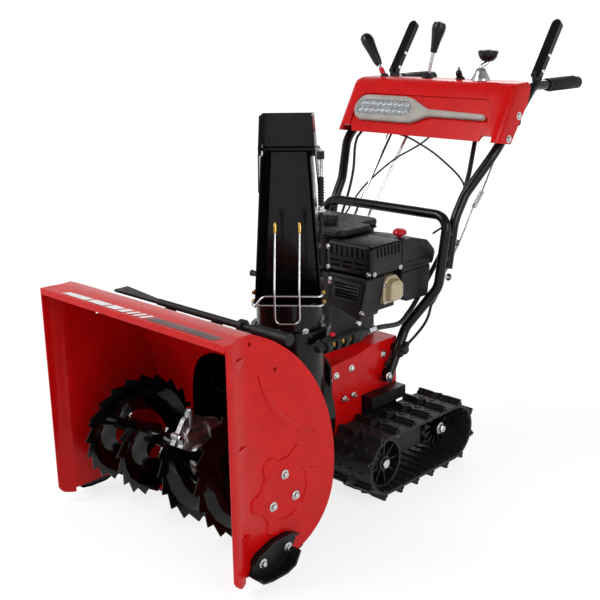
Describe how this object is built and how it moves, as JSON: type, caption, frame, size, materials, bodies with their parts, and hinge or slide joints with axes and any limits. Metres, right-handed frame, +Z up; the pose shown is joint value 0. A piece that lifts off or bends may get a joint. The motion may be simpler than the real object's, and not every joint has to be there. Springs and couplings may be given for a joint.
{
  "type": "tracked two-stage snow blower",
  "caption": "Walk-behind snow blower on rubber tracks, with an auger housing, turning discharge chute, petrol engine, control console and handlebars.",
  "frame": {"origin": "on the ground, at the middle of the machine's bounding box", "axes": "+Z up; the machine faces -Y; its left side, seen by the operator behind it, is +X"},
  "size_m": [0.6732, 1.3664, 1.1027],
  "materials": {
    "red_paint": "bright red gloss enamel on pressed sheet steel",
    "black_paint": "gloss black enamel",
    "satin_black_paint": "satin black enamel",
    "zinc_steel": "zinc plated steel",
    "cast_aluminium": "as-cast aluminium",
    "engine_casting": "black painted casting",
    "black_plastic": "black moulded plastic",
    "track_rubber": "moulded track rubber",
    "clear_lens": "clear polycarbonate lens",
    "valve_cover_paint": "beige painted pressed cover",
    "grey_plastic": "warm grey moulded plastic",
    "red_plastic": "red moulded plastic"
  },
  "bodies": {
    "frame": {"air_box": "black_plastic", "auger_gearbox": "cast_aluminium", "auger_housing": "red_paint", "chassis": "black_paint", "choke_knob": "red_plastic", "chute_base_ring": "black_paint", "chute_crank": "black_plastic", "chute_worm_box": "black_plastic", "clean_out_tool": "black_plastic", "clutch_lever_left": "black_paint", "clutch_lever_right": "black_paint", "console": "red_paint", "control_cables": "black_plastic", "deflector_lever": "black_plastic", "engine_block": "engine_casting", "exhaust_shroud": "black_plastic", "flex_shaft": "black_plastic", "front_axle": "zinc_steel", "front_mount": "satin_black_paint", "fuel_cap": "black_plastic", "fuel_tank": "black_plastic", "grip_left": "black_plastic", "grip_right": "black_plastic", "handle_knobs": "black_plastic", "headlight_bezel": "grey_plastic", "headlight_lens": "clear_lens", "idler_left": "black_plastic", "idler_right": "black_plastic", "impeller_drum": "black_paint", "lower_handle": "black_paint", "muffler_guard": "satin_black_paint", "rear_axle": "zinc_steel", "recoil_starter": "black_plastic", "scraper_bar": "satin_black_paint", "shift_lever": "black_plastic", "shift_rod": "zinc_steel", "skid_shoe_left": "black_paint", "skid_shoe_right": "black_paint", "sprocket_left": "black_plastic", "sprocket_right": "black_plastic", "starter_grip": "black_plastic", "throttle_lever": "black_plastic", "tool_clips": "satin_black_paint", "track_frame_left": "satin_black_paint", "track_frame_right": "satin_black_paint", "track_left": "track_rubber", "track_right": "track_rubber", "upper_handle_left": "black_paint", "upper_handle_right": "black_paint", "valve_cover": "valve_cover_paint"},
    "chute": {"chute_body": "black_paint", "chute_guard": "zinc_steel", "deflector_cable_end": "black_plastic"},
    "deflector": {"deflector": "black_paint"},
    "auger": {"auger_shaft": "zinc_steel", "auger_flights_left": "black_paint", "auger_flights_right": "black_paint"},
    "impeller": {"impeller": "black_paint"}
  },
  "joints": [
    {"name": "auger_spin", "type": "hinge", "parent": "frame", "child": "auger", "pos_m": [0, -0.526, 0.179], "axis": [1, 0, 0], "continuous": true},
    {"name": "impeller_spin", "type": "hinge", "parent": "frame", "child": "impeller", "pos_m": [0, -0.383, 0.21], "axis": [0, 1, 0], "continuous": true},
    {"name": "chute_turn", "type": "hinge", "parent": "frame", "child": "chute", "pos_m": [0.105, -0.3, 0.438], "axis": [0, 0, 1], "range_deg": [-135, 55]},
    {"name": "deflector_tilt", "type": "hinge", "parent": "chute", "child": "deflector", "pos_m": [0.07515, -0.26442, 0.838], "axis": [0.766, 0.6428, 0], "range_deg": [0, 55]}
  ],
  "couplings": [
    {"joint": "impeller_spin", "follows": "auger_spin", "ratio": 10}
  ]
}
